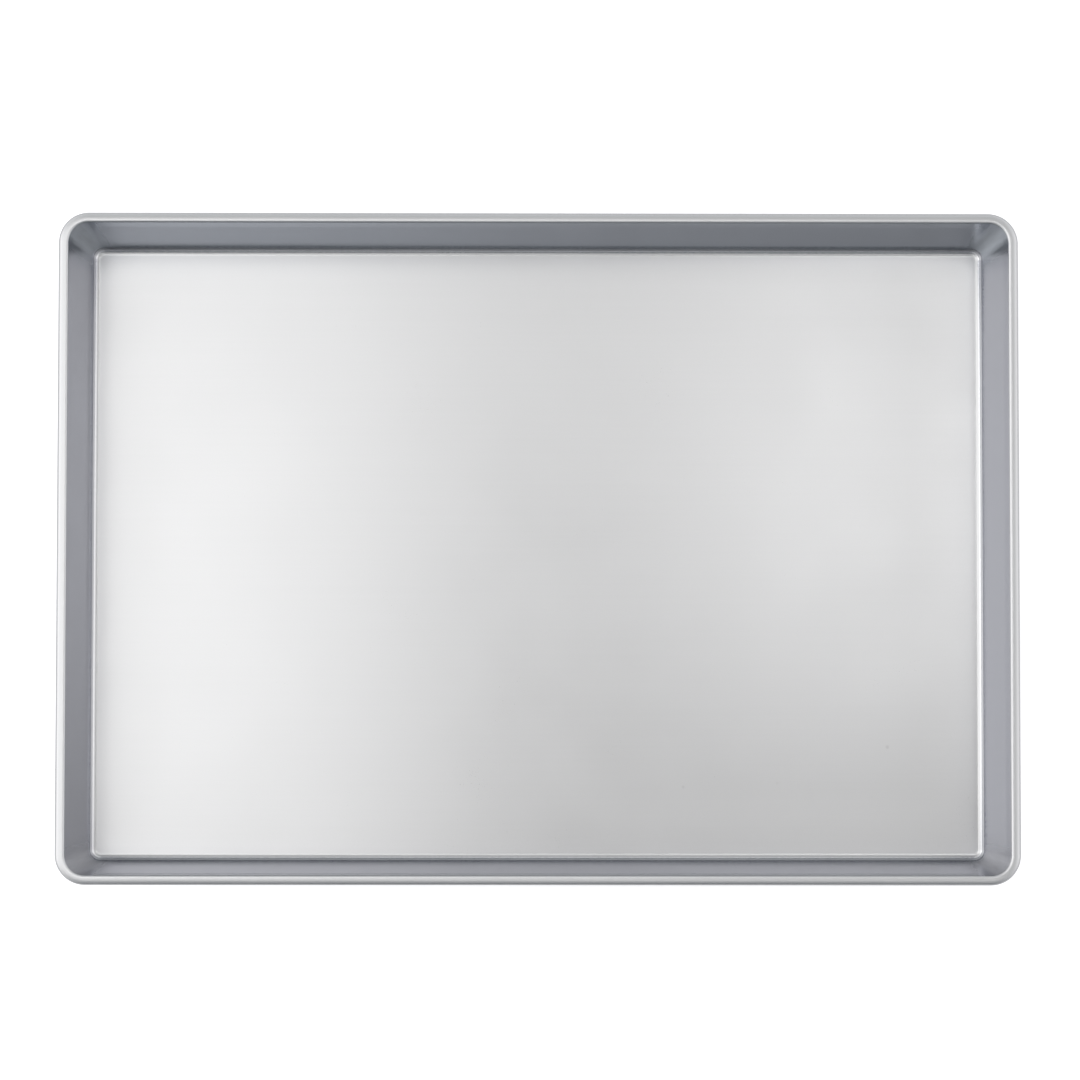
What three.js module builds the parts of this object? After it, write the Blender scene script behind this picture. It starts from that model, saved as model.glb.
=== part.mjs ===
// Sheet cake pan, 9 x 13 x 2 in: one drawn aluminium sheet with its edge rolled round a steel wire.
// Millimetres, +Z up. Origin: middle of the base, on the surface that the pan stands on.
// X runs along the long sides.

import * as THREE from "three";
import { toCreasedNormals } from "three/addons/utils/BufferGeometryUtils.js";

// Driving dimensions

const inch = 25.4;
const openingLength = 13 * inch; // between the short walls, inside, where they bend into the rim
const openingWidth = 9 * inch; // between the long walls, likewise
const overallHeight = 2 * inch; // base to the top of the rolled rim
const sheetThickness = 0.8;
const wallDraft = THREE.MathUtils.degToRad(3.7); // the walls lean outwards, so that a cake drops out
const openingCornerRadius = 7; // in plan, inside the walls, where they bend into the rim
const floorFilletRadius = 2.4; // inside, where the walls meet the floor
const rimBendRadius = 0.9; // from the inner face of the wall up to the crest of the rim
const rimReach = 2.65; // from the crest outwards: the roll is an oval
const rimHalfHeight = 1.6;
const wireDiameter = 1.2;
const wireClearance = 0.1; // between the wire and the wall that it lies against
const wireButtGap = 1; // between the two cut ends of the wire

// Facets

const cornerSteps = 10; // round each corner in plan
const filletSteps = 6;
const rimBendSteps = 5;
const rollSteps = 12; // from the crest round to the sheet's edge
const wireSides = 10;
const creaseAngle = THREE.MathUtils.degToRad(35); // sharper edges than this stay crisp

// Worked out from the above. Sections are drawn in (out, z):
// out is the distance outwards from the outline of the opening.

const rimBendCentre = new THREE.Vector2(rimBendRadius, overallHeight - rimBendRadius);
const rollCentre = new THREE.Vector2(rimBendRadius, overallHeight - rimHalfHeight);
const wireCentre = new THREE.Vector2(sheetThickness + wireClearance + wireDiameter / 2, rollCentre.y);

const aluminium = new THREE.MeshStandardMaterial({
  name: "satin_aluminium",
  color: 0xd6d7d9,
  roughness: 0.36,
  metalness: 1,
});
const steel = new THREE.MeshStandardMaterial({
  name: "drawn_steel",
  color: 0x9c9a96,
  roughness: 0.42,
  metalness: 1,
});

// The outline of the opening, counter-clockwise from the middle of the back wall:
// points round the four corners, each with the direction that faces out of the pan.
function openingOutline() {
  const stations = [];
  for (let corner = 1; corner <= 4; corner += 1) {
    const diagonal = (corner + 0.5) * (Math.PI / 2);
    const centre = new THREE.Vector2(
      Math.sign(Math.cos(diagonal)) * (openingLength / 2 - openingCornerRadius),
      Math.sign(Math.sin(diagonal)) * (openingWidth / 2 - openingCornerRadius),
    );
    for (let step = 0; step <= cornerSteps; step += 1) {
      const angle = (corner + step / cornerSteps) * (Math.PI / 2);
      const outward = new THREE.Vector2(Math.cos(angle), Math.sin(angle));
      const point = centre.clone().addScaledVector(outward, openingCornerRadius);
      stations.push({ point, outward });
    }
  }
  return stations;
}

// A section point at a station. Every point keeps its own distance from the outline,
// so the leaning walls meet in drawn, conical corners.
function placeAt(station, { x: out, y: z }) {
  const { x, y } = station.point.clone().addScaledVector(station.outward, out);
  return new THREE.Vector3(x, y, z);
}

function arc(centre, radius, from, to, clockwise, steps) {
  return new THREE.EllipseCurve(centre.x, centre.y, radius, radius, from, to, clockwise).getPoints(steps);
}

// The rim, at a depth under its outer face: bent over from the wall to the crest,
// then rolled round to the sheet's edge, which is tucked in below the crest.
function rimCurve(depth) {
  const { x, y } = rollCentre;
  const top = Math.PI / 2;
  const bend = arc(rimBendCentre, rimBendRadius - depth, Math.PI, top, true, rimBendSteps);
  const roll = new THREE.EllipseCurve(x, y, rimReach - depth, rimHalfHeight - depth, top, -top, true);
  return [...bend, ...roll.getPoints(rollSteps).slice(1)];
}

// The sheet's section: from the edge of the floor up the inside of the wall, over the rim,
// round the sheet's edge, back inside the roll and down the outside of the wall to the base.
function sheetSection() {
  const filletCentreZ = sheetThickness + floorFilletRadius;
  const wallDrop = rimBendCentre.y - filletCentreZ;
  const filletCentre = new THREE.Vector2(
    -wallDrop * Math.tan(wallDraft) - floorFilletRadius / Math.cos(wallDraft),
    filletCentreZ,
  );
  const floor = -Math.PI / 2;
  const wall = -wallDraft;
  const baseRadius = floorFilletRadius + sheetThickness;
  return [
    ...arc(filletCentre, floorFilletRadius, floor, wall, false, filletSteps),
    ...rimCurve(0),
    ...rimCurve(sheetThickness).reverse(),
    ...arc(filletCentre, baseRadius, wall, floor, true, filletSteps),
  ];
}

function wireSection() {
  return arc(wireCentre, wireDiameter / 2, 0, 2 * Math.PI, true, wireSides).slice(0, wireSides);
}

// A closed skin over a row of rings, each of an even number of points, with strips across both ends.
// Each ring runs counter-clockwise about the way from the first ring to the last.
function skinRings(rings) {
  const perRing = rings[0].length;
  const vertices = rings.flat();
  const triangles = [];
  const addQuad = (a, b, c, d) => triangles.push(a, b, c, a, c, d);
  for (let ring = 0; ring + 1 < rings.length; ring += 1) {
    const here = ring * perRing;
    const above = here + perRing;
    for (let side = 0; side < perRing; side += 1) {
      const nextSide = (side + 1) % perRing;
      addQuad(here + side, here + nextSide, above + nextSide, above + side);
    }
  }
  const lastRing = vertices.length - perRing;
  for (let near = 0; near + 1 < perRing / 2; near += 1) {
    const far = perRing - 1 - near;
    addQuad(far, far - 1, near + 1, near);
    addQuad(lastRing + near, lastRing + near + 1, lastRing + far - 1, lastRing + far);
  }
  const geometry = new THREE.BufferGeometry().setFromPoints(vertices);
  geometry.setIndex(triangles);
  return toCreasedNormals(geometry, creaseAngle);
}

// One pressed sheet: floor, leaning walls and the rolled rim.
function panBody() {
  const outline = openingOutline();
  const rings = sheetSection().map((point) => outline.map((station) => placeAt(station, point)));
  const mesh = new THREE.Mesh(skinRings(rings.reverse()), aluminium);
  mesh.name = "pan_body";
  return mesh;
}

// The hoop inside the rolled rim, cut to length, its ends butted at the middle of the back wall.
function rimWire() {
  const outward = new THREE.Vector2(0, 1);
  const [startEnd, finishEnd] = [-1, 1].map((side) => ({
    point: new THREE.Vector2((side * wireButtGap) / 2, openingWidth / 2),
    outward,
  }));
  const stations = [startEnd, ...openingOutline(), finishEnd];
  const section = wireSection();
  const rings = stations.map((station) => section.map((point) => placeAt(station, point)));
  const mesh = new THREE.Mesh(skinRings(rings), steel);
  mesh.name = "rim_wire";
  return mesh;
}

const sheetCakePan = new THREE.Group();
sheetCakePan.name = "sheet_cake_pan";
sheetCakePan.add(panBody(), rimWire());

export default sheetCakePan;
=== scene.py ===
import math

import bmesh
import bpy
from mathutils import Matrix, Vector


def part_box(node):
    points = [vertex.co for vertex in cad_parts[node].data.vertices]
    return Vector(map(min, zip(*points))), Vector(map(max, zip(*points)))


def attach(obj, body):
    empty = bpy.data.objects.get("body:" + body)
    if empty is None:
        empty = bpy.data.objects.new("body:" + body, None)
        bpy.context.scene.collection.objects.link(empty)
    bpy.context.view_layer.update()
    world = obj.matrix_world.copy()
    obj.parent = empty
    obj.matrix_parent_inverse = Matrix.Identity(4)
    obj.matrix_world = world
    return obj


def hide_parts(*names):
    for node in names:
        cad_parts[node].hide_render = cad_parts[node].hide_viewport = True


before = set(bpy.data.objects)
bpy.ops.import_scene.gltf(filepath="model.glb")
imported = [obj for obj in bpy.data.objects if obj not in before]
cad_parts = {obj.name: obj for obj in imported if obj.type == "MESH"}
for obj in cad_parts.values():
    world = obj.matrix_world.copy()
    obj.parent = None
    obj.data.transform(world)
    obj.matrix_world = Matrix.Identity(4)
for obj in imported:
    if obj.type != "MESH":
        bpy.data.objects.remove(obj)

mm = 0.001
scene = bpy.context.scene
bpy.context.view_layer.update()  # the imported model's box, before anything is added
print("frame loaded:", ", ".join(sorted(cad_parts)))


# Camera: almost straight above the pan, leaning a little to the front and left

shot = {
    "distance": 1.2146,  # from the middle of the rim
    "tiltDeg": 2.55,  # towards the front
    "yawDeg": 0.34,  # towards the left
    "rollDeg": -0.05,
    "focalPixels": 3468,
    "framePixels": 1080,
    "rimOffset": (-1.5, 7.8),  # pixels right of and below the picture's middle
    "sensorMm": 36,
}


def makeCamera(rimMiddle):
    tilt, yaw, roll = (math.radians(shot[key]) for key in ("tiltDeg", "yawDeg", "rollDeg"))
    back = Vector((-math.sin(yaw) * math.cos(tilt), -math.sin(tilt), math.cos(yaw) * math.cos(tilt)))
    back.normalize()
    right = Vector((0, 1, 0)).cross(back).normalized()
    up = back.cross(right)
    turned = Matrix((right, up, back)).transposed() @ Matrix.Rotation(-roll, 3, "Z")
    lens = bpy.data.cameras.new("photoLens")
    lens.sensor_width = shot["sensorMm"]
    lens.lens = shot["sensorMm"] * shot["focalPixels"] / shot["framePixels"]
    lens.shift_x = -shot["rimOffset"][0] / shot["framePixels"]
    lens.shift_y = shot["rimOffset"][1] / shot["framePixels"]
    camera = bpy.data.objects.new("photoCamera", lens)
    camera.matrix_world = Matrix.Translation(rimMiddle + back * shot["distance"]) @ turned.to_4x4()
    scene.collection.objects.link(camera)
    scene.camera = camera
    print("camera placed at", [round(c, 3) for c in camera.location])


# Shader helpers: Value does sums on sockets, Nodes adds the nodes of one material or world


class Value:
    def __init__(self, nodes, socket):
        self.nodes = nodes
        self.socket = socket

    def maths(self, operation, first, second):
        return self.nodes.add("ShaderNodeMath", {"operation": operation}, {0: first, 1: second})

    def __add__(self, other):
        return self.maths("ADD", self, other)

    def __sub__(self, other):
        return self.maths("SUBTRACT", self, other)

    def __rsub__(self, other):
        return self.maths("SUBTRACT", other, self)

    def __mul__(self, other):
        return self.maths("MULTIPLY", self, other)

    def __abs__(self):
        return self.maths("ABSOLUTE", self, 0)

    __radd__ = __add__
    __rmul__ = __mul__


class Nodes:
    def __init__(self, owner):
        owner.use_nodes = True
        self.tree = owner.node_tree
        self.tree.nodes.clear()

    def add(self, kind, settings=None, sockets=None, output=0):
        node = self.tree.nodes.new(kind)
        for key, setting in (settings or {}).items():
            setattr(node, key, setting)
        for key, value in (sockets or {}).items():
            if isinstance(value, Value):
                self.tree.links.new(value.socket, node.inputs[key])
            else:
                node.inputs[key].default_value = value
        return Value(self, node.outputs[output]) if node.outputs else None

    def rise(self, value, start, end):
        # 0 up to start, 1 from end on, smooth between
        return self.add(
            "ShaderNodeMapRange",
            {"interpolation_type": "SMOOTHSTEP"},
            {"Value": value, "From Min": start, "From Max": end},
        )

    def noise(self, place, cells, detail=2):
        # cells per metre
        sockets = {"Vector": place, "Scale": cells, "Detail": detail}
        return self.add("ShaderNodeTexNoise", None, sockets)

    def swing(self, place, cells, detail=2):
        # the same noise, about 0
        return self.noise(place, cells, detail) - 0.5

    def stretch(self, place, scale, turnDeg=0):
        sockets = {"Vector": place, "Scale": scale, "Rotation": (0, 0, math.radians(turnDeg))}
        return self.add("ShaderNodeMapping", None, sockets)

    def split(self, vector):
        return [self.add("ShaderNodeSeparateXYZ", None, {"Vector": vector}, axis) for axis in range(3)]

    def blend(self, share, first, second):
        return self.add("ShaderNodeMix", {"data_type": "RGBA"}, {0: share, 6: first, 7: second}, 2)

    def shade(self, colour, level):
        return self.add("ShaderNodeVectorMath", {"operation": "SCALE"}, {0: colour, "Scale": level})

    def bump(self, height, depth):
        return self.add("ShaderNodeBump", None, {"Strength": 1, "Distance": depth, "Height": height})

    def surface(self, sockets):
        shader = self.add("ShaderNodeBsdfPrincipled", None, sockets)
        self.add("ShaderNodeOutputMaterial", None, {"Surface": shader})


# The pan: one drawn sheet, modelled by its inner face in millimetres and given its thickness last

pan = {
    "sheet": 0.8,
    "draftDeg": 3.7,
    "landDeg": 1.4,  # the straighter band of wall below the rim
    "landHeight": 9.5,
    "cornerRadius": 7.0,  # in plan, at the opening
    "fillet": 2.4,  # inside, between floor and walls
    "dish": 0.3,  # the floor lies this much below its edge,
    "dishDeg": 3.0,  # where it runs into the fillet at this slope
    "rimBend": 0.9,  # radius from the wall up to the crest of the rim
    "rimReach": 2.65,  # from the crest outwards: the roll is an oval
    "rimHigh": 1.6,  # half its height
    "cutBevel": 0.12,  # on the sheet's cut edge under the rim
    "cutSegments": 2,
    "cutAngleDeg": 60,  # the bevel leaves smoother edges than this alone
    "support": 0.4,  # narrow rows that keep the flats flat beside the bends
    "weld": 0.001,  # points as near as this are one
    "filletSteps": 14,
    "wallRows": 10,
    "landRows": 3,
    "rimBendSteps": 12,
    "rollSteps": 32,
    "cornerSteps": 24,
    "longSteps": 24,
    "shortSteps": 18,
    "floorCells": (26, 18),
}


def lastVerts(spun):
    return [item for item in spun["geom_last"] if isinstance(item, bmesh.types.BMVert)]


def turn(bm, geom, centre, axis, degrees, steps):
    return bmesh.ops.spin(
        bm, geom=geom, cent=centre, axis=axis, angle=math.radians(degrees), steps=steps
    )


def run(bm, geom, offset, steps):
    return bmesh.ops.spin(
        bm, geom=geom, cent=(0, 0, 0), axis=(0, 0, 1), angle=0, dvec=offset / steps, steps=steps
    )


def buildPan():
    bm = bmesh.new()
    draft = math.radians(pan["draftDeg"])
    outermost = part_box("pan_body")[1] / mm
    rimWidth = pan["rimBend"] + pan["rimReach"]
    fromEdge = rimWidth + pan["cornerRadius"]
    cornerAxis = Vector((outermost.x - fromEdge, outermost.y - fromEdge, 0))
    wallTop = cornerAxis + Vector((pan["cornerRadius"], 0, outermost.z - pan["rimBend"]))
    dish = math.radians(pan["dishDeg"])
    bendHeight = pan["sheet"] + pan["dish"] + pan["fillet"] * math.cos(dish)
    lean = (wallTop.z - bendHeight) * math.tan(draft)
    bend = Vector((wallTop.x - lean - pan["fillet"] / math.cos(draft), wallTop.y, bendHeight))
    land = math.radians(pan["landDeg"])
    landUp = Vector((math.sin(land), 0, math.cos(land)))
    landFoot = wallTop - landUp * pan["landHeight"]
    toLand = landFoot - bend
    lower = math.atan2(toLand.x, toLand.z) - math.asin(pan["fillet"] / toLand.length)
    wallUp = Vector((math.sin(lower), 0, math.cos(lower)))
    wallFoot = bend + Vector((math.cos(lower), 0, -math.sin(lower))) * pan["fillet"]
    edge = pan["support"]

    # the sheet's section on the right-hand wall, from the floor's edge to the end of the roll
    tip = [bm.verts.new(bend + Vector((math.sin(dish), 0, -math.cos(dish))) * pan["fillet"])]
    filletTurn = 90 - pan["dishDeg"] - math.degrees(lower)
    tip = lastVerts(turn(bm, tip, bend, (0, -1, 0), filletTurn, pan["filletSteps"]))
    wallRun = (landFoot - wallFoot).length - edge * 2
    landRun = pan["landHeight"] - edge * 2
    rises = (
        (wallUp * edge, 1),
        (wallUp * wallRun, pan["wallRows"]),
        (wallUp * edge, 1),
        (landUp * edge, 1),
        (landUp * landRun, pan["landRows"]),
        (landUp * edge, 1),
    )
    for offset, rows in rises:
        tip = lastVerts(run(bm, tip, offset, rows))
    rimAxis = wallTop + Vector((pan["rimBend"], 0, 0))
    tip = lastVerts(turn(bm, tip, rimAxis, (0, 1, 0), 90, pan["rimBendSteps"]))
    rimAxis.z = outermost.z - pan["rimHigh"]
    unrolled = set(bm.verts)
    turn(bm, tip, rimAxis, (0, 1, 0), 180, pan["rollSteps"])
    roll = [v for v in bm.verts if v not in unrolled]
    oval = (pan["rimReach"] / pan["rimHigh"], 1, 1)
    bmesh.ops.scale(bm, vec=oval, space=Matrix.Translation(-rimAxis), verts=roll)

    # round the corner, then along half of each side, then mirrored both ways
    section = bm.verts[:] + bm.edges[:]
    turned = turn(bm, section, cornerAxis, (0, 0, 1), 90, pan["cornerSteps"])["geom_last"]
    run(bm, section, Vector((0, -cornerAxis.y, 0)), pan["shortSteps"])
    run(bm, turned, Vector((-cornerAxis.x, 0, 0)), pan["longSteps"])
    for axis in "XY":
        everything = bm.verts[:] + bm.edges[:] + bm.faces[:]
        bmesh.ops.mirror(bm, geom=everything, axis=axis, merge_dist=pan["weld"])
    bmesh.ops.remove_doubles(bm, verts=bm.verts, dist=pan["weld"])

    # the floor: a narrow border beside the bend, cells that slope down from it, then the flat dish
    low = bendHeight / 2
    floorEdge = [e for e in bm.edges if e.is_boundary and all(v.co.z < low for v in e.verts)]
    floor = bmesh.ops.contextual_create(bm, geom=floorEdge)["faces"]
    bmesh.ops.inset_region(bm, faces=floor, thickness=pan["support"], use_even_offset=True)
    floorLevel = pan["sheet"] + pan["dish"] + pan["weld"]
    reach = Vector((bend.x, bend.x - cornerAxis.x + cornerAxis.y))
    for axis, cells in enumerate(pan["floorCells"]):
        for cut in range(1, cells):
            along = Vector((axis == 0, axis == 1, 0))
            place = along * reach[axis] * (2 * cut / cells - 1)
            flat = [f for f in bm.faces if f.calc_center_median().z < floorLevel]
            inner = {item for f in flat for item in (f, *f.edges, *f.verts)}
            bmesh.ops.bisect_plane(bm, geom=list(inner), plane_co=place, plane_no=along)
    edgeVerts = {v for e in floorEdge for v in e.verts}
    inside = [v for v in bm.verts if v.co.z < floorLevel and v not in edgeVerts]
    ring = {v for edgeVert in edgeVerts for e in edgeVert.link_edges for v in e.verts}
    dished = [v for v in inside if v not in ring]
    bmesh.ops.translate(bm, verts=dished, vec=(0, 0, -pan["dish"]))

    # the inner face looks up and inwards
    bmesh.ops.recalc_face_normals(bm, faces=bm.faces)
    lowest = min(bm.faces, key=lambda f: f.calc_center_median().z)
    if lowest.normal.z < 0:
        bmesh.ops.reverse_faces(bm, faces=bm.faces)
    rolled = bm.verts.layers.float.new("rolled")  # from 0 on the wall to 1 at the rim's outside
    for v in bm.verts:
        beyond = [max(abs(c) - a, 0) for c, a in zip(v.co.xy, cornerAxis.xy)]
        v[rolled] = max(math.hypot(*beyond) - pan["cornerRadius"], 0) / rimWidth
    bmesh.ops.scale(bm, vec=(mm, mm, mm), verts=bm.verts)
    for face in bm.faces:
        face.smooth = True
    mesh = bpy.data.meshes.new("panSheet")
    bm.to_mesh(mesh)
    bm.free()
    piece = bpy.data.objects.new("panSheet", mesh)
    scene.collection.objects.link(piece)
    thick = piece.modifiers.new("thickness", "SOLIDIFY")
    thick.thickness = pan["sheet"] * mm
    thick.offset = -1
    thick.use_even_offset = True
    thick.use_quality_normals = True
    thick.material_offset = 1
    thick.material_offset_rim = 1
    cut = piece.modifiers.new("cutEdge", "BEVEL")
    cut.width = pan["cutBevel"] * mm
    cut.segments = pan["cutSegments"]
    cut.limit_method = "ANGLE"
    cut.angle_limit = math.radians(pan["cutAngleDeg"])
    print("pan sheet modelled:", len(mesh.polygons), "faces before its thickness")
    return piece, cornerAxis


# Marks that the rolling mill, the press and handling leave in the sheet

marks = {
    # noise cells per metre
    "grain": 2400,
    "rollLines": 900,
    "drawLines": 800,
    "clouds": 26,
    "specks": 55,
    "breaks": 24,
    # in metres
    "grainDepth": 0.000002,
    "hairWidth": 0.00016,
    # shares and levels
    "grainDetail": 3,
    "rollStretch": (0.012, 1, 1),  # long along the floor
    "drawStretch": (1, 1, 0.03),  # long up the walls
    "breakSpan": (0.48, 0.62),  # a hair line shows where the breaks' noise is above these levels
    "speckEdge": (0.02, 0.05),  # from a speck's middle, in cells
    "speckChance": (0.78, 0.8),  # only a cell that draws more than this has a speck
}


def scratches(nodes, place, turnDeg, length, gap):
    # straight hair lines in one direction: a long noise's middle level, broken off by a second noise
    lines = nodes.swing(nodes.stretch(place, (1 / length, 1 / gap, 1 / gap), turnDeg), 1, 0)
    hair = 1 - nodes.rise(abs(lines), 0, marks["hairWidth"] / gap)
    return hair * nodes.rise(nodes.noise(place, marks["breaks"]), *marks["breakSpan"])


def specks(nodes, place):
    # single small dull spots
    sockets = {"Vector": place, "Scale": marks["specks"]}
    near = nodes.add("ShaderNodeTexVoronoi", None, sockets, "Distance")
    chance = nodes.split(nodes.add("ShaderNodeTexVoronoi", None, sockets, "Color"))[0]
    return (1 - nodes.rise(near, *marks["speckEdge"])) * nodes.rise(chance, *marks["speckChance"])


def worn(start, wear, strengths):
    # start, with each kind of wear added at its strength
    return sum((wear[kind] * strength for kind, strength in strengths.items()), start)


# Satin aluminium: clear anodised sheet. The die leaves the bends smoother than the floor. The colours
# carry painted light: painted shade darkens the walls and the rim's outermost line, painted highlight
# lightens the bends and the rolled rim, and a painted reflection cools the back wall

satin = {
    "floorColour": (0.645, 0.645, 0.648),
    # lighter than the floor: painted highlight along the bends
    "bendHighlightColour": (0.84, 0.842, 0.846),
    # darker than the floor: painted shade on the walls
    "wallColour": (0.6, 0.6, 0.606),
    "coolReflectionColour": (0.545, 0.578, 0.6),  # the back wall: painted reflection of cool light
    # lighter than the floor: painted highlight on the rolled rim
    "rimHighlightColour": (0.72, 0.722, 0.726),
    "edgeShadeColour": (0.34, 0.34, 0.345),  # the rim's outermost line, darkened as painted shade
    "grazing": (0.62, 0.63, 0.68),  # how much of the gloss is left at flat angles
    "floorRoughness": 0.3,
    "bendRoughness": 0.24,
    "wallRoughness": 0.18,
    "cornerRoughness": 0.36,  # where the walls' corners are drawn
    "rimRoughness": 0.4,
    "edgeRoughness": 0.16,
    "bendFoot": (0.0012, 0.0018),  # heights where the floor's finish gives way to the bend's,
    "wallFoot": (0.0038, 0.0066),  # the bend's to the wall's
    "coolReflectionFrom": (0.1, 0.111),  # towards the back, where the painted cool reflection begins and is full
    "cornerFrom": (-0.008, 0.003),  # past the axis of a corner
    "rimFrom": (0.0, 0.09),  # shares of the rim's width, from the wall outwards
    "edgeFrom": (0.74, 0.97),
    # how much each kind of wear lightens the sheet, and how much it dulls it
    "lightens": {
        "clouds": 0.05,
        "rollLines": 0.02,
        "drawLines": 0.05,
        "corner": 0.3,
        "grain": 0.05,
        "specks": -0.1,
    },
    "dulls": {"clouds": 0.05, "grain": 0.08, "corner": 0.1},
}


def satinSheet(cornerAxis):
    material = bpy.data.materials.new("satinAluminium")
    nodes = Nodes(material)
    place = nodes.add("ShaderNodeTexCoord", output="Object")
    x, y, z = nodes.split(place)
    rolled = nodes.add("ShaderNodeAttribute", {"attribute_name": "rolled"}, output="Fac")
    bend = nodes.rise(z, *satin["bendFoot"])
    wall = nodes.rise(z, *satin["wallFoot"])
    rim = nodes.rise(rolled, *satin["rimFrom"])
    edge = nodes.rise(rolled, *satin["edgeFrom"])
    corner = wall * (1 - rim)
    for across, axis in zip((x, y), cornerAxis):
        corner = corner * nodes.rise(abs(across), *(axis + past for past in satin["cornerFrom"]))

    # painted reflection: the back wall tinted by the cool light it mirrors
    back = nodes.rise(y, *satin["coolReflectionFrom"])
    wallColour = nodes.blend(back, (*satin["wallColour"], 1), (*satin["coolReflectionColour"], 1))
    # painted highlight: the bends coloured lighter than the floor
    colour = nodes.blend(bend, (*satin["floorColour"], 1), (*satin["bendHighlightColour"], 1))
    # painted shade: the walls coloured darker than the floor
    colour = nodes.blend(wall, colour, wallColour)
    # painted highlight: the rolled rim coloured lighter
    colour = nodes.blend(rim, colour, (*satin["rimHighlightColour"], 1))
    # painted shade: the rim's outermost line coloured dark as if mirroring dark surroundings
    colour = nodes.blend(edge, colour, (*satin["edgeShadeColour"], 1))
    roughness = satin["floorRoughness"]
    zones = {"bend": bend, "wall": wall, "corner": corner, "rim": rim, "edge": edge}
    for zone, share in zones.items():
        roughness = roughness + share * (satin[zone + "Roughness"] - roughness)

    grain = nodes.swing(place, marks["grain"], marks["grainDetail"])
    rollLines = nodes.swing(nodes.stretch(place, marks["rollStretch"]), marks["rollLines"])
    drawLines = nodes.swing(nodes.stretch(place, marks["drawStretch"]), marks["drawLines"])
    wear = {
        "clouds": nodes.swing(place, marks["clouds"]),
        "rollLines": (1 - wall) * rollLines,
        "drawLines": wall * (1 - rim) * drawLines,
        "corner": corner * drawLines,
        "grain": grain,
        "specks": specks(nodes, place) * (1 - wall),
    }
    nodes.surface({
        "Base Color": nodes.shade(colour, worn(1, wear, satin["lightens"])),
        "Metallic": 1,
        "Roughness": worn(roughness, wear, satin["dulls"]),
        "Specular Tint": (*satin["grazing"], 1),
        "Normal": nodes.bump(grain, marks["grainDepth"]),
    })
    return material


# The sheet's outer face: the same satin with the press's draw lines up the walls and fine rubbing
# below, from racks and worktops

outer = {
    "wallColour": (0.44, 0.441, 0.446),
    "baseColour": (0.5, 0.501, 0.504),
    "wallRoughness": 0.32,
    "baseRoughness": 0.37,
    "baseTop": (0.0012, 0.0042),  # heights where the base's finish gives way to the wall's
    "clouds": 18.2,  # noise cells per metre
    "rubs": ((3, 0.5, 0.005), (87, 0.4, 0.006), (38, 0.3, 0.008)),  # turn, length, gap
    "rubDepth": 0.8,  # in grain depths
    "lightens": {"clouds": 0.07, "grain": 0.05, "drawLines": 0.12, "rubs": 0.1},
    "dulls": {"clouds": 0.06, "grain": 0.05, "drawLines": 0.04, "rubs": -0.08},
}


def outerSheet():
    material = bpy.data.materials.new("outerAluminium")
    nodes = Nodes(material)
    place = nodes.add("ShaderNodeTexCoord", output="Object")
    wall = nodes.rise(nodes.split(place)[2], *outer["baseTop"])
    grain = nodes.swing(place, marks["grain"], marks["grainDetail"])
    drawLines = nodes.swing(nodes.stretch(place, marks["drawStretch"]), marks["drawLines"])
    rubbed = sum(scratches(nodes, place, *rub) for rub in outer["rubs"]) * (1 - wall)
    wear = {
        "clouds": nodes.swing(place, outer["clouds"]),
        "grain": grain,
        "drawLines": wall * drawLines,
        "rubs": rubbed,
    }
    colour = nodes.blend(wall, (*outer["baseColour"], 1), (*outer["wallColour"], 1))
    roughness = outer["baseRoughness"] + wall * (outer["wallRoughness"] - outer["baseRoughness"])
    nodes.surface({
        "Base Color": nodes.shade(colour, worn(1, wear, outer["lightens"])),
        "Metallic": 1,
        "Roughness": worn(roughness, wear, outer["dulls"]),
        "Specular Tint": (*satin["grazing"], 1),
        "Normal": nodes.bump(grain - rubbed * outer["rubDepth"], marks["grainDepth"]),
    })
    return material


# Drawn steel of the wire inside the rolled rim: dull, with a mottled skin

wireLook = {
    "colour": (0.56, 0.55, 0.53),
    "stainColour": (0.44, 0.42, 0.39),
    "roughness": 0.4,
    "mottle": 420,  # noise cells per metre
    "mottleDetail": 4,
    "stainFrom": (0.45, 0.7),  # levels of the mottle
    "dulls": {"stain": 0.12, "grain": 0.08},
}


def drawnSteel():
    material = bpy.data.materials.new("drawnSteel")
    nodes = Nodes(material)
    place = nodes.add("ShaderNodeTexCoord", output="Object")
    mottle = nodes.noise(place, wireLook["mottle"], wireLook["mottleDetail"])
    grain = nodes.swing(place, marks["grain"], marks["grainDetail"])
    stain = nodes.rise(mottle, *wireLook["stainFrom"])
    wear = {"stain": stain, "grain": grain}
    nodes.surface({
        "Base Color": nodes.blend(stain, (*wireLook["colour"], 1), (*wireLook["stainColour"], 1)),
        "Metallic": 1,
        "Roughness": worn(wireLook["roughness"], wear, wireLook["dulls"]),
        "Normal": nodes.bump(grain, marks["grainDepth"]),
    })
    return material


# Studio: a white table, soft boxes and screens above and beside the pan, and the room's own light

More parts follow.
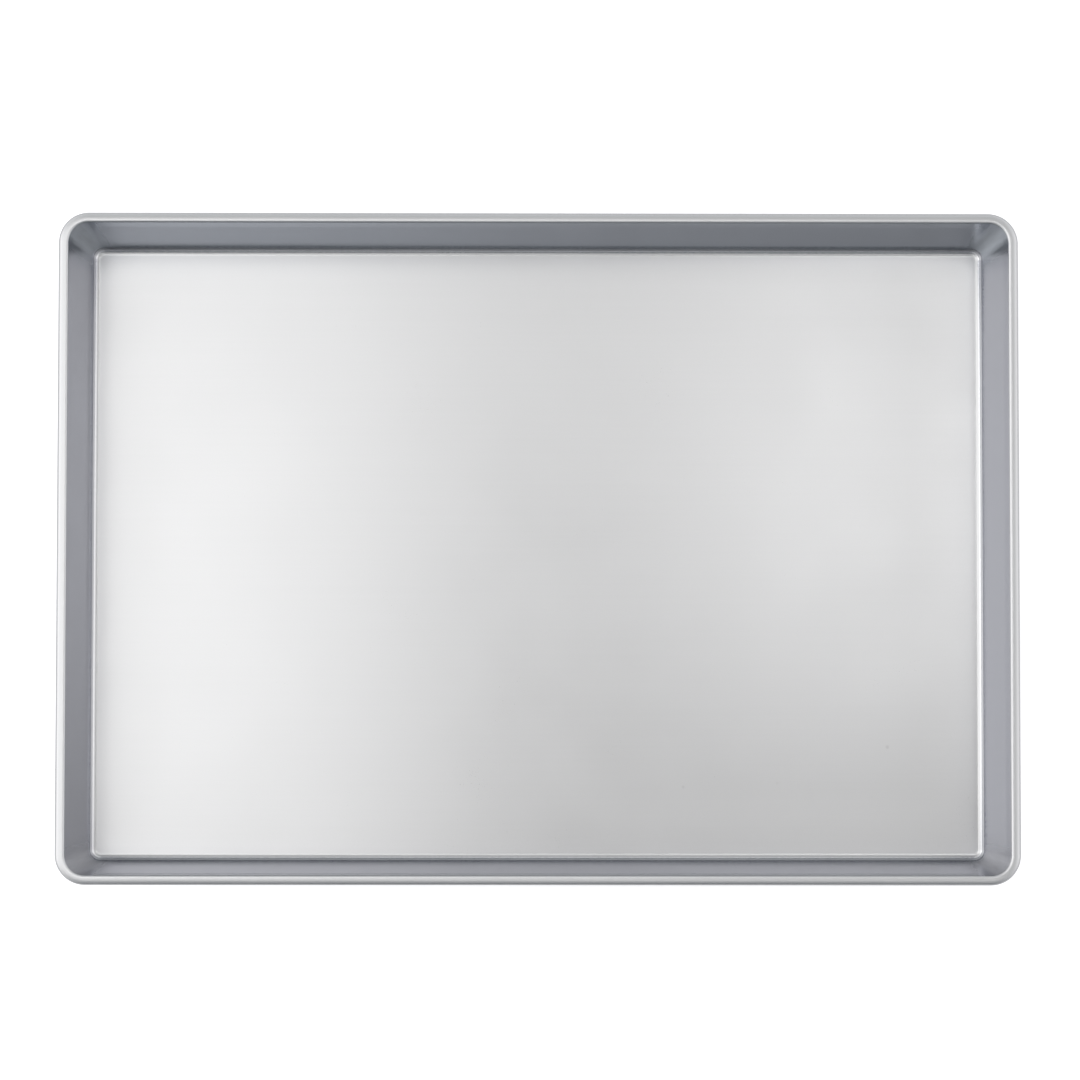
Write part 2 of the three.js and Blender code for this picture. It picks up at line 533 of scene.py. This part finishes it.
studio = {
    "tableSize": 8.0,
    "tableDrop": 0.0002,  # below the pan's base
    "tableColour": (0.92, 0.92, 0.92),
    "tableRoughness": 0.9,
    "tableGlow": 0.56,
    "boxes": {
        # name: place, aimed at, size, glow
        "leftBox": ((-0.26, 0.05, 1.34), (-0.26, 0.05, 0), (0.34, 0.74), 1.48),
        "rightBox": ((0.265, 0.12, 1.34), (0.265, 0.12, 0), (0.20, 0.42), 2.2),
        "backBox": ((0.02, 0.36, 1.34), (0.02, 0.36, 0), (0.34, 0.26), 0.72),
        "leftCeiling": ((-0.72, 0.0, 1.34), (-0.72, 0, 0), (0.58, 1.40), 0.75),
        "frontBox": ((0.0, -0.74, 1.34), (0, -0.74, 0), (1.20, 0.36), 0.8),
        "leftScreen": ((-1.1, 0.0, 0.75), (0, 0, 0.05), (1.2, 1.0), 0.5),
        "rightScreen": ((1.1, 0.05, 0.75), (0, 0, 0.05), (1.2, 1.0), 0.25),
    },
    "room": {
        # light that comes from each side
        "left": ((-1, 0, 0), (1.20, 1.20, 1.22)),
        "right": ((1, 0, 0), (1.00, 1.00, 1.02)),
        "back": ((0, 1, 0), (0.72, 0.74, 0.76)),
        "front": ((0, -1, 0), (0.17, 0.19, 0.21)),
        "above": ((0, 0, 1), (0.36, 0.36, 0.36)),
        "below": ((0, 0, -1), (0.90, 0.90, 0.90)),
    },
}


def makeTable():
    bm = bmesh.new()
    bmesh.ops.create_grid(bm, x_segments=1, y_segments=1, size=studio["tableSize"] / 2)
    bmesh.ops.translate(bm, verts=bm.verts, vec=(0, 0, -studio["tableDrop"]))
    mesh = bpy.data.meshes.new("table")
    bm.to_mesh(mesh)
    bm.free()
    table = bpy.data.objects.new("table", mesh)
    scene.collection.objects.link(table)
    white = bpy.data.materials.new("tableWhite")
    Nodes(white).surface({
        "Base Color": (*studio["tableColour"], 1),
        "Roughness": studio["tableRoughness"],
        "Specular IOR Level": 0,
        "Emission Color": (1, 1, 1, 1),
        "Emission Strength": studio["tableGlow"],
    })
    mesh.materials.append(white)


def makeRoom():
    # each side's light weighs by the square of how far a direction points to it
    world = bpy.data.worlds.new("studioRoom")
    nodes = Nodes(world)
    direction = nodes.add("ShaderNodeTexCoord", output="Generated")
    total = (0, 0, 0)
    for side, light in studio["room"].values():
        towards = nodes.add(
            "ShaderNodeVectorMath", {"operation": "DOT_PRODUCT"}, {0: direction, 1: side}, "Value"
        )
        towards = towards.maths("MAXIMUM", towards, 0)
        share = nodes.shade(light, towards * towards)
        total = nodes.add("ShaderNodeVectorMath", {"operation": "ADD"}, {0: total, 1: share})
    air = nodes.add("ShaderNodeBackground", None, {"Color": total})
    nodes.add("ShaderNodeOutputWorld", None, {"Surface": air})
    scene.world = world


def makeBoxes():
    for name, (place, aim, size, glow) in studio["boxes"].items():
        light = bpy.data.lights.new(name, "AREA")
        light.shape = "RECTANGLE"
        light.size, light.size_y = size
        light.energy = glow * math.pi * light.size * light.size_y  # watts that give this glow
        lamp = bpy.data.objects.new(name, light)
        lamp.location = place
        lamp.rotation_euler = (Vector(aim) - lamp.location).to_track_quat("-Z", "Y").to_euler()
        lamp.visible_camera = False
        scene.collection.objects.link(lamp)


def makeStudio():
    makeTable()
    makeRoom()
    makeBoxes()
    scene.view_settings.view_transform = "Standard"
    print("studio lit by", len(studio["boxes"]), "soft boxes and the room")


panSheet, cornerAxis = buildPan()
panSheet.data.materials.append(satinSheet(cornerAxis * mm))
panSheet.data.materials.append(outerSheet())
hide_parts("pan_body")
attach(panSheet, "root")

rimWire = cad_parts["rim_wire"]
rimWire.data.materials.clear()
rimWire.data.materials.append(drawnSteel())
print("finishes set on both faces of the sheet and on the wire")

makeStudio()
makeCamera(Vector((0, 0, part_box("pan_body")[1].z - pan["rimBend"] * mm)))
